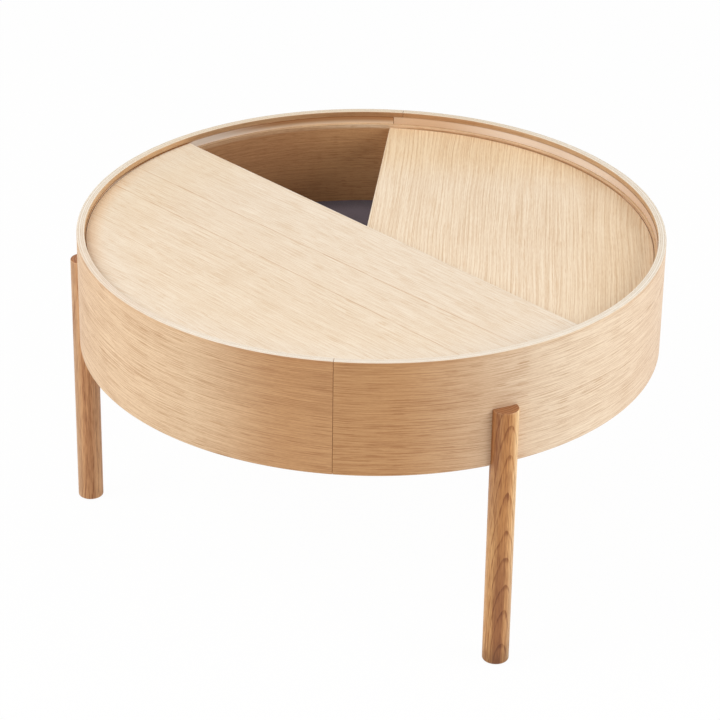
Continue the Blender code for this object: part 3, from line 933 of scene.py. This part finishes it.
def build_felt():
    """The felt mat, a little uneven and soft along its edge."""
    flat_radius = FELT_RADIUS - FELT_EDGE
    profile = [(flat_radius - FELT_TURN_IN, FELT_Z)]
    profile += arc_round(flat_radius, FELT_Z + FELT_EDGE, FELT_EDGE, 270)
    profile += arc_round(flat_radius, FELT_TOP_Z - FELT_EDGE, FELT_EDGE, 0)
    for step in range(1, FELT_RINGS):
        profile.append((flat_radius * (1 - step / FELT_RINGS), FELT_TOP_Z))
    mat = turned(profile, FELT_SECTORS)
    for vert in mat.verts:
        if vert.co.z > FELT_Z + FELT_EDGE:
            swell = noise.noise(vert.co * FELT_WAVES) + 0.5 * noise.noise(vert.co * FELT_RIPPLES)
            vert.co.z -= FELT_SWELL * (1.0 - min(max(swell, -1.0), 1.0))
    piece = make("store_felt", mat, "felt_mat", ("wool_felt",), point_itself)


def board_face(face):
    return 0 if abs(face.normal.z) > BOARD_FACING else 1


def near_axis(point):
    return math.hypot(point.x, point.y) < BUSH_CLEAR_RADIUS


def build_turning_top():
    """The turning half top, with the pin's socket in its underside."""
    board = half_round_board(TURNING_RADIUS, TURNING_EDGE, TURNING_Z, TURNING_TOP_Z)
    socket = rod(PIN_SOCKET_RADIUS, TURNING_Z - CUT_SPARE, TURNING_Z + PIN_SOCKET_DEPTH)

    def grain(point):
        return Vector((point.y, -point.x, point.z))

    def plain(point):
        return near_axis(point) and point.z < TURNING_TOP_Z - TOP_EDGE_ROUND

    looks = ("oak_veneer_turning", "oak_ply_board_edge")
    make("half_top_turning", board, "turning_top", looks, grain, [socket],
         turned_by(OPEN_TURN_DEG), board_face, plain, "turning_leaf")


def build_fixed_top():
    """The fixed half top, bored for the bush and for the screws from below."""
    board = half_round_board(FIXED_RADIUS, FIXED_EDGE, FIXED_Z, FIXED_TOP_Z)
    bush_hole = rod(BUSH_HOLE_RADIUS, FIXED_Z - CUT_SPARE, FIXED_TOP_Z + CUT_SPARE)
    holes = screw_cutters("", FIXED_Z - CUT_SPARE, FIXED_Z + SCREW_BITE + SEAT_GAP)

    def plain(point):
        return near_axis(point) or point.z < FIXED_Z + SCREW_BITE

    looks = ("oak_veneer_fixed", "oak_ply_board_edge")
    make("half_top_fixed", placed(board, turned_by(180.0)), "fixed_top", looks, along_y,
         [bush_hole, *holes], turned_by(FIXED_TURN_DEG), board_face, plain)


def screw_places():
    """Each wood screw's node, its place before the fixed top's turn, and its carrier's underside."""
    places = []
    for number, degrees in enumerate(CLEAT_TURNS_DEG, 1):
        spot = polar(CLEAT_MIDDLE, math.radians(degrees))
        places.append((f"cleat_screw_{number}", spot, CARRIER_TOP_Z - CLEAT_HEIGHT))
    for number in range(RAIL_SCREWS):
        y = (number - (RAIL_SCREWS - 1) / 2) * RAIL_SCREW_PITCH
        places.append((f"rail_screw_{number + 1}", Vector((RAIL_X + RAIL_WIDTH / 2, y, 0.0)), RAIL_Z))
    return places


def screw_cutters(prefix, low, high):
    """Cutters for the screws whose names start like this, in order."""
    cutters = []
    for name, spot, _ in screw_places():
        if name.startswith(prefix):
            cutters.append(placed(rod(SCREW_HOLE_RADIUS, low, high), Matrix.Translation(spot)))
    return cutters


def build_rail():
    """The rail under the fixed top's straight edge."""
    far = max(abs(RAIL_X), abs(RAIL_X + RAIL_WIDTH))
    length = 2 * math.sqrt(CLEAT_OUTER**2 - far**2)
    middle = (RAIL_X + RAIL_WIDTH / 2, 0.0, RAIL_Z + RAIL_HEIGHT / 2)
    rail = block((RAIL_WIDTH, length, RAIL_HEIGHT), middle)
    bmesh.ops.bevel(
        rail, geom=rail.edges[:], offset=RAIL_EDGE_ROUND, segments=3, profile=0.5, affect="EDGES",
        clamp_overlap=True,
    )
    bush_hole = rod(BUSH_HOLE_RADIUS, RAIL_Z - CUT_SPARE, CARRIER_TOP_Z + CUT_SPARE)
    holes = screw_cutters("rail", RAIL_Z - CUT_SPARE, FIXED_Z + CUT_SPARE)
    make("rail", rail, "top_rail", ("planed_hardwood",), along_y, [bush_hole, *holes],
         turned_by(FIXED_TURN_DEG))


def build_cleats():
    """The blocks on the liner that carry the rail's ends and the fixed top."""
    rail_turn = math.acos((RAIL_X + RAIL_WIDTH / 2) / CLEAT_MIDDLE)
    cleats = [
        ("rail_cleat_back", rail_turn, RAIL_WIDTH, RAIL_Z - SEAT_GAP),
        ("rail_cleat_front", -rail_turn, RAIL_WIDTH, RAIL_Z - SEAT_GAP),
    ]
    for number, degrees in enumerate(CLEAT_TURNS_DEG, 1):
        cleats.append((f"top_cleat_{number}", math.radians(degrees), CLEAT_LENGTH, CARRIER_TOP_Z))
    holes = screw_cutters("cleat", RAIL_Z - CUT_SPARE, FIXED_Z + CUT_SPARE)
    for number, (node, turn, length, high) in enumerate(cleats):
        half = length / 2 / CLEAT_OUTER
        inner = CLEAT_OUTER - CLEAT_DEPTH
        corners = box_corners(inner, CLEAT_OUTER, high - CLEAT_HEIGHT, high, CLEAT_EDGE_ROUND)
        cleat = swept(sum(corners, []), turn - half, turn + half, CLEAT_EDGE_ROUND)
        grain = round_grain(turn, CLEAT_OUTER, CLEAT_OUTER, CLEAT_SHIFT * number)
        hole = [holes.pop(0)] if node.startswith("top") else []
        make("block_" + node, cleat, node, ("planed_hardwood",), grain, hole,
             turned_by(FIXED_TURN_DEG))


def wood_screw_profile(head_top):
    """A pan-head wood screw's half section, from its head to its point, with thread ridges."""
    head_base = head_top - SCREW_HEAD_HEIGHT
    tip = FIXED_Z + SCREW_BITE
    core = SCREW_RADIUS - SCREW_THREAD_DEPTH
    size = SCREW_HEAD_ROUND
    points = [(SCREW_HEAD_RADIUS - size - FACE_MARGIN, head_base)]
    points += arc_round(SCREW_HEAD_RADIUS - size, head_base + size, size, 270)
    points += [(SCREW_HEAD_RADIUS, head_top), (core, head_top)]
    height = head_top + SCREW_PLAIN_SHANK
    while height < tip - SCREW_POINT - SCREW_THREAD_PITCH:
        points.append((core, height))
        points.append((SCREW_RADIUS, height + SCREW_THREAD_PITCH * THREAD_PEAK))
        points.append((core, height + SCREW_THREAD_PITCH * THREAD_END))
        height += SCREW_THREAD_PITCH
    return [*points, (core, tip - SCREW_POINT), (SCREW_TIP_RADIUS, tip)]


def cross_cutters(low, high):
    """Two crossed bars that cut a driver's recess."""
    size, middle = (RECESS_LENGTH, RECESS_WIDTH, high - low), (0.0, 0.0, (low + high) / 2)
    return [placed(block(size, middle), turned_by(degrees)) for degrees in (0.0, 90.0)]


def build_screws():
    for node, spot, carrier_z in screw_places():
        head_top = carrier_z - SEAT_GAP
        head_base = head_top - SCREW_HEAD_HEIGHT
        screw = turned(wood_screw_profile(head_top), SMALL_STEPS)
        recess = cross_cutters(head_base - CUT_SPARE, head_base + RECESS_DEPTH)
        place = turned_by(FIXED_TURN_DEG) @ Matrix.Translation(spot)
        make("fixing_" + node, screw, node, ("zinc_plate",), point_itself, recess, place)


def leg_profile():
    """Half the section of a leg, from the recess in its foot to its top face."""
    recess = GLIDE_RADIUS + SEAT_GAP
    top = LEG_RADIUS - LEG_TOP_ROUND
    foot = LEG_RADIUS - LEG_FOOT_ROUND
    return [
        (recess, GLIDE_THICK + SEAT_GAP),
        (recess, LEG_FOOT_Z),
        *arc_round(foot, LEG_FOOT_Z + LEG_FOOT_ROUND, LEG_FOOT_ROUND, 270),
        (LEG_RADIUS, NOTCH_Z - FACE_MARGIN),
        (LEG_RADIUS, NOTCH_Z + FACE_MARGIN),
        *arc_round(top, LEG_TOP_Z - LEG_TOP_ROUND, LEG_TOP_ROUND, 0),
        (top - FACE_MARGIN, LEG_TOP_Z),
    ]


def leg_face(face):
    """1 for the end grain of the top and foot, 0 elsewhere."""
    on_top = face.calc_center_median().z > LEG_TOP_Z - FACE_MARGIN
    return 1 if face.normal.z < -END_FACING or on_top and face.normal.z > END_FACING else 0


def bolt_profile():
    """A low round-head bolt along Z, from its head's face to its end."""
    end = NOTCH_RADIUS + BOLT_REACH
    size = BOLT_HEAD_ROUND
    return [
        (SOCKET_RADIUS + SOCKET_RIM, BOLT_FACE),
        *arc_round(BOLT_HEAD_RADIUS - size, BOLT_FACE + size, size, 270),
        (BOLT_HEAD_RADIUS, BOLT_SEAT),
        (BOLT_RADIUS, BOLT_SEAT),
        (BOLT_RADIUS, end - BOLT_END_BEVEL),
        (BOLT_RADIUS - BOLT_END_BEVEL, end),
    ]


def build_leg(name, turn):
    """One notched leg, with a glide under its foot and two bolts from inside the store."""
    stand = Matrix.Rotation(turn, 4, "Z") @ Matrix.Translation((LEG_CENTRE_RADIUS, 0.0, 0.0))
    to_leg = stand.inverted()
    notch = rod(NOTCH_RADIUS, NOTCH_Z, RIM_Z, 4 * DRUM_STEPS)
    pocket_end = NOTCH_RADIUS + INSERT_HOLE_LENGTH
    pockets = bolt_cutters([turn], INSERT_HOLE_RADIUS, HOOP_OUTER - CUT_SPARE, pocket_end)

    def grain(point):
        local = to_leg @ point
        return Vector((local.z, local.x, local.y))

    leg = placed(turned(leg_profile(), LEG_STEPS), stand)
    make("oak_leg_" + name, leg, "leg_" + name, ("oak_solid_" + name, "oak_solid_end"), grain,
         [notch, *pockets], face_slot=leg_face)
    pad = disc_profile(GLIDE_RADIUS, 0.0, GLIDE_THICK, GLIDE_UNDER_ROUND, GLIDE_UPPER_ROUND)
    make("glide_" + name, turned(pad, SMALL_STEPS), "foot_glide_" + name, ("moulded_nylon",),
         point_itself, place=stand)
    for label, height in BOLT_HEIGHTS.items():
        bolt = turned(bolt_profile(), SMALL_STEPS)
        socket = rod(SOCKET_RADIUS, BOLT_FACE - CUT_SPARE, BOLT_FACE + SOCKET_DEPTH, SOCKET_SIDES)
        make(f"bolt_{name}_{label}", bolt, f"leg_bolt_{name}_{label}", ("zinc_plate",),
             point_itself, [socket], outward(turn, height))


def make_veneers():
    """The sliced-oak faces: half tops, hoop, liner and base."""
    veneer(
        "oak_veneer_turning", (0.92, 0.82, 0.697), (0.81, 0.677, 0.535), bands=0.32, streaks=0.35,
        fibres=1.10, dashes=0.60, dash_pitch=0.045, dash_tint=(0.80, 0.66, 0.50), edge_light=0.8,
        leaf_joints=(
            (0.0815, 0.016, -0.330, 0.330, 0.75),
            (0.1372, 0.0, -0.330, 0.330, 0.70),
            (0.1720, 0.0, -0.260, -0.060, 0.28),
            (0.2150, 0.006, 0.000, 0.260, 0.28),
            (0.2560, 0.0, -0.120, 0.200, 0.22),
        ),
        shades=(
            ((0.985, 0.965, 0.93), (1, 0.03, 0.20)),
            ((0.97, 0.94, 0.88), (0, 0.14, 0.28)),
            ((1.0, 0.976, 0.94), ("rim", 0.305, 0.260)),
            ((0.93, 0.81, 0.70), ("rim", 0.296, 0.316), (0, 0.08, 0.20), (0, 0.315, 0.270)),
        ),
    )
    veneer(
        "oak_veneer_fixed", (0.95, 0.80, 0.615), (0.75, 0.55, 0.365), bands=0.15, streaks=0.42,
        fibres=0.85, rings=0.42, dashes=0.50, dash_pitch=0.07, dash_tint=(0.80, 0.66, 0.50),
        stretch=3.5, slope=0.03,
        # Darker and warmer toward the right and back rim: partly the wood's tone, partly painted shade from
        # the rim.
        shades=(((0.96, 0.905, 0.815), (1, 0.18, 0.31)), ((0.98, 0.915, 0.80), (0, 0.15, 0.25))),
    )
    hoop = dict(
        bands=0.30, streaks=0.30, fibres=0.95, rings=0.18, ring_pitch=0.0040, dashes=0.85, dash_pitch=0.060,
        dash_tint=(0.69, 0.56, 0.44), stretch=1.8, seam=math.pi / 2 * HOOP_OUTER, edge_light=0.15,
    )
    # Each half of the hoop is painted darker and browner toward its seams, where it faces away from the
    # lamps, and a little darker near its middle: painted shade. The paler middles, most of all on the right
    # half, stand in for sheen: painted light.
    under_rim = ((0.93, 0.88, 0.82), (1, 0.3735, 0.3775))
    veneer(
        "oak_veneer_hoop_left", (0.83, 0.61, 0.395), (0.65, 0.44, 0.265), slope=0.04,
        shades=(
            ((0.77, 0.58, 0.40), ("far", 0.34, 0.48)),
            ((0.94, 0.90, 0.86), ("far", 0.24, 0.10)),
            ((0.98, 0.965, 0.95), (1, 0.340, 0.370)),
            under_rim,
        ),
        **hoop,
    )
    veneer(
        "oak_veneer_hoop_right", (0.85, 0.70, 0.53), (0.70, 0.525, 0.365),
        shades=(
            ((0.72, 0.480, 0.272), ("far", 0.25, 0.465)),
            ((0.95, 0.90, 0.86), ("far", 0.20, 0.05)),
            under_rim,
        ),
        **hoop,
    )
    # Both inner faces are painted darker toward the back seam, where the store below sends them little
    # light: painted shade. The left one is painted paler about its middle and darker in steps away from it:
    # painted light and shade.
    inside = dict(fibres=0.6, dashes=0.6, edge_light=0.15)
    veneer(
        "oak_veneer_inside_left", (0.78, 0.55, 0.335), (0.63, 0.42, 0.23),
        shades=(
            ((0.86, 0.78, 0.69), ("far", 0.03, 0.10)),
            ((0.855, 0.77, 0.715), ("far", 0.19, 0.25)),
            ((0.80, 0.71, 0.64), ("far", 0.34, 0.46)),
        ),
        **inside,
    )
    veneer(
        "oak_veneer_inside_right", (0.62, 0.41, 0.23), (0.51, 0.31, 0.165),
        shades=(((0.85, 0.72, 0.60), ("far", 0.34, 0.46)),), **inside,
    )
    veneer(
        "oak_ply_liner", (0.80, 0.575, 0.38), (0.62, 0.41, 0.25), bands=0.6, fibres=0.6, rings=0.3,
        dashes=0.7, edge_light=0.10, rough=0.58,
        # Painted shade: the store's wall darker below the ledge, toward its foot and toward its left end,
        # and a painted shadow line just above the fixed top.
        shades=(
            ((0.74, 0.55, 0.37), (1, 0.3615, 0.3585)),
            ((0.93, 0.83, 0.71), (1, 0.3585, 0.3615), (0, 6.88, 6.95), (0, 7.30, 7.20)),
            ((0.96, 0.94, 0.93), (1, 0.345, 0.290)),
            ((0.88, 0.83, 0.80), (0, 6.90, 6.98)),
            ((0.72, 0.60, 0.48), (1, 0.3634, 0.3620), (0, 6.86, 6.80)),
        ),
    )
    # The ledge is painted darker over the store: painted shade.
    veneer(
        "oak_ply_ledge", (0.70, 0.475, 0.26), (0.585, 0.365, 0.185), bands=0.3, fibres=0.5, dashes=0.4,
        edge_light=0.10, rough=0.55, shades=(((0.75, 0.68, 0.63), (0, 6.90, 7.00), (0, 7.30, 7.20)),),
    )
    veneer(
        "oak_ply_base", (0.70, 0.50, 0.31), (0.56, 0.36, 0.20), bands=0.6, fibres=0.5, rings=0.4,
        dashes=0.6, rough=0.6,
    )


def make_edges():
    """The plies that show on the hoop's rim and round the half tops."""
    ply_edge(
        "oak_ply_rim", 0.0, RIM_PLY, (0.92, 0.86, 0.77), (0.80, 0.71, 0.585), 0.32,
        shades=(((0.95, 0.90, 0.84), (2, 0.0026, 0.0004)),),
        sides=(
            ((0.95, 0.91, 0.84), (1, 0.05, 0.22), (0, 0.24, 0.06)),
            ((0.945, 0.885, 0.845), (0, -0.12, -0.24), (1, 0.04, -0.14)),
        ),
    )
    ply_edge(
        "oak_ply_board_edge", TURNING_Z, BOARD_PLY, (0.82, 0.68, 0.50), (0.62, 0.45, 0.28), 0.45,
        sides=(((0.95, 0.91, 0.84), (1, 0.05, 0.22)),),
    )


def make_leg_woods():
    """Each leg's own oak, with painted light and shade on the front and left legs, and the end grain they
    share.
    """
    # The left leg's shades paint shade across it: darker down its middle, a little darker on its left side
    # and toward its foot.
    solid_oak(
        "oak_solid_left", (0.70, 0.41, 0.205), (0.44, 0.21, 0.095), pith=(0.030, 0.020), lean=(0.02, 0.01),
        ring_pitch=0.0060, shift=2.0, rings=0.25, broad=0.45,
        shades=(
            ((0.87, 0.755, 0.65), (1, -0.0110, -0.0060), (1, 0.0100, 0.0)),
            ((0.90, 0.89, 0.88), (1, -0.0110, -0.0060), (1, 0.0100, 0.0), (0, 0.075, 0.035)),
            ((0.86, 0.87, 0.90), (1, 0.0040, 0.0090)),
        ),
    )
    # The front leg's pale colour is raised for a painted highlight on its right edge. Its shades paint
    # shade across it: a dark middle, darker lower down, a dark left edge beside the hoop (painted shadow)
    # and a darker foot.
    solid_oak(
        "oak_solid_front", (0.93, 0.66, 0.36), (0.50, 0.26, 0.095), pith=(0.060, -0.004),
        lean=(-0.095, 0.0), ring_pitch=0.0036, shift=5.0, rings=0.50, broad=0.35,
        shades=(
            ((0.80, 0.625, 0.455), (2, 0.0100, 0.0025)),
            ((0.75, 0.61, 0.47), (2, -0.0137, -0.0075), (2, 0.0035, -0.0035)),
            ((0.82, 0.75, 0.74), (2, -0.0060, -0.0115), (0, 0.14, 0.22)),
            ((0.74, 0.62, 0.52), (2, -0.0100, -0.0130), (0, 0.235, 0.255)),
            ((0.64, 0.54, 0.52), (2, -0.0135, -0.0080), (2, 0.0030, -0.0030), (0, 0.20, 0.08)),
            ((0.74, 0.66, 0.62), (2, -0.0010, 0.0050), (0, 0.21, 0.07)),
            ((0.60, 0.55, 0.45), (0, 0.040, 0.0)),
        ),
    )
    solid_oak(
        "oak_solid_back", (0.62, 0.32, 0.14), (0.40, 0.17, 0.065), pith=(0.025, -0.030), lean=(0.02, 0.02),
        ring_pitch=0.0050, shift=9.0, rings=0.50, broad=0.60,
    )
    end_grain("oak_solid_end", (0.43, 0.195, 0.08), (0.30, 0.12, 0.045), (0.05, 0.01), ring_pitch=0.0035)


def make_looks():
    make_veneers()
    make_edges()
    make_leg_woods()
    planed_wood("planed_hardwood", (0.66, 0.49, 0.32), (0.50, 0.35, 0.21))
    strip_look("satin_strip", (0.88, 0.745, 0.635), (0.78, 0.625, 0.50))
    felt_look("wool_felt", (0.125, 0.100, 0.128), (0.205, 0.170, 0.208))
    gritty_look(
        "moulded_nylon", (0.80, 0.79, 0.74), (0.74, 0.73, 0.68), clouds=120.0, grit=2600.0,
        rough=(0.38, 0.55), distance=0.00004,
    )
    gritty_look(
        "zinc_plate", (0.60, 0.61, 0.63), (0.50, 0.49, 0.45), clouds=180.0, grit=2200.0,
        rough=(0.24, 0.42), distance=0.00003, metallic=1.0, detail=3.0, roughness=0.7,
    )


def finish_cad_nodes():
    """Materials for the CAD nodes that stay as they are."""
    kept = {"pivot_pin": "zinc_plate", "pivot_bush": "moulded_nylon", "pivot_washer": "moulded_nylon"}
    for name in LEGS:
        for label in BOLT_HEIGHTS:
            kept[f"leg_insert_{name}_{label}"] = "zinc_plate"
    for node, look in kept.items():
        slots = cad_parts[node].data.materials
        slots.clear()
        slots.append(bpy.data.materials[look])


def seen_directly(look):
    """1 for rays from the camera, and for those that mirrors and glass pass on."""
    kinds = ("Is Camera Ray", "Is Glossy Ray", "Is Transmission Ray")
    camera, glossy, passed = (look.add("ShaderNodeLightPath", {}, kind) for kind in kinds)
    return camera.math("MAXIMUM", glossy).math("MAXIMUM", passed)


def build_floor():
    """A wide white floor that keeps the table's soft shadow."""
    bm = bmesh.new()
    bmesh.ops.create_circle(bm, cap_ends=True, segments=FLOOR_STEPS, radius=FLOOR_RADIUS)
    floor = mesh_object("floor", bm)
    look = Look("white_floor")
    cloud = look.place().noise((0.8, 0.8, 0.8))
    look.set(Base_Color=look.mix(cloud, (0.85, 0.85, 0.85), (0.87, 0.87, 0.87)), Roughness=0.9)
    glow = look.add("ShaderNodeEmission", {"Color": WHITE, "Strength": 1.0})
    lit = Value(look, look.shader.outputs[0])
    mixed = look.add("ShaderNodeMixShader", {0: seen_directly(look) * FLOOR_GLOW, 1: lit, 2: glow})
    look.feed(mixed, look.tree.nodes["Material Output"].inputs["Surface"])
    floor.data.materials.append(look.owner)
    floor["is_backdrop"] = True


def build_world():
    """An even studio: white behind the table, a little warm as light."""
    look = Look("studio", bpy.data.worlds, "Background")
    look.set(Color=look.mix(seen_directly(look), AMBIENT, WHITE), Strength=1.0)
    bpy.context.scene.world = look.owner


def add_lamp(name, azimuth_deg, elevation_deg, watts):
    """A square soft box aimed at the drum from this side."""
    data = bpy.data.lights.new(name, "AREA")
    data.shape = "SQUARE"
    data.size = LAMP_SIZE
    data.energy = watts
    lamp = bpy.data.objects.new(name, data)
    bpy.context.scene.collection.objects.link(lamp)
    elevation = math.radians(elevation_deg)
    away = polar(math.cos(elevation), math.radians(azimuth_deg), math.sin(elevation))
    lamp.location = Vector((AXIS_X, 0.0, LAMP_AIM_Z)) + away * LAMP_DISTANCE
    lamp.rotation_euler = away.to_track_quat("Z", "Y").to_euler()


def add_camera():
    """The photo's camera: above the front of the table, a little to the right."""
    data = bpy.data.cameras.new("camera")
    data.sensor_width = SENSOR_WIDTH
    data.lens = FOCAL_PIXELS * SENSOR_WIDTH / PICTURE_SIZE
    data.clip_start = CLIP_NEAR
    data.clip_end = CLIP_FAR
    tilt = Matrix.Rotation(math.radians(90.0 - CAMERA_ELEVATION_DEG), 4, "X")
    turn = turned_by(CAMERA_AZIMUTH_DEG) @ tilt @ turned_by(CAMERA_ROLL_DEG)
    across, lower = ((pixel - PICTURE_SIZE / 2) / FOCAL_PIXELS for pixel in RIM_CENTRE_PIXEL)
    spot = Vector((AXIS_X, 0.0, RIM_Z)) - CAMERA_DISTANCE * (turn @ Vector((across, -lower, -1.0)))
    camera = bpy.data.objects.new("camera", data)
    bpy.context.scene.collection.objects.link(camera)
    camera.matrix_world = Matrix.Translation(spot) @ turn
    bpy.context.scene.camera = camera


def build_table():
    make_looks()
    build_hoop()
    build_liner()
    build_strip()
    build_base()
    build_felt()
    build_turning_top()
    build_fixed_top()
    build_rail()
    build_cleats()
    build_screws()
    for name, turn in LEGS.items():
        build_leg(name, turn)
    finish_cad_nodes()


def write_sizes():
    boxes = {"cad": CAD_BOX, "visual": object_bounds()}
    {name: [list(corner) for corner in box] for name, box in boxes.items()}


bpy.context.scene.view_settings.view_transform = "Standard"
build_table()
build_floor()
build_world()
for lamp_name, lamp_settings in LAMPS.items():
    add_lamp(lamp_name, *lamp_settings)
add_camera()
write_sizes()
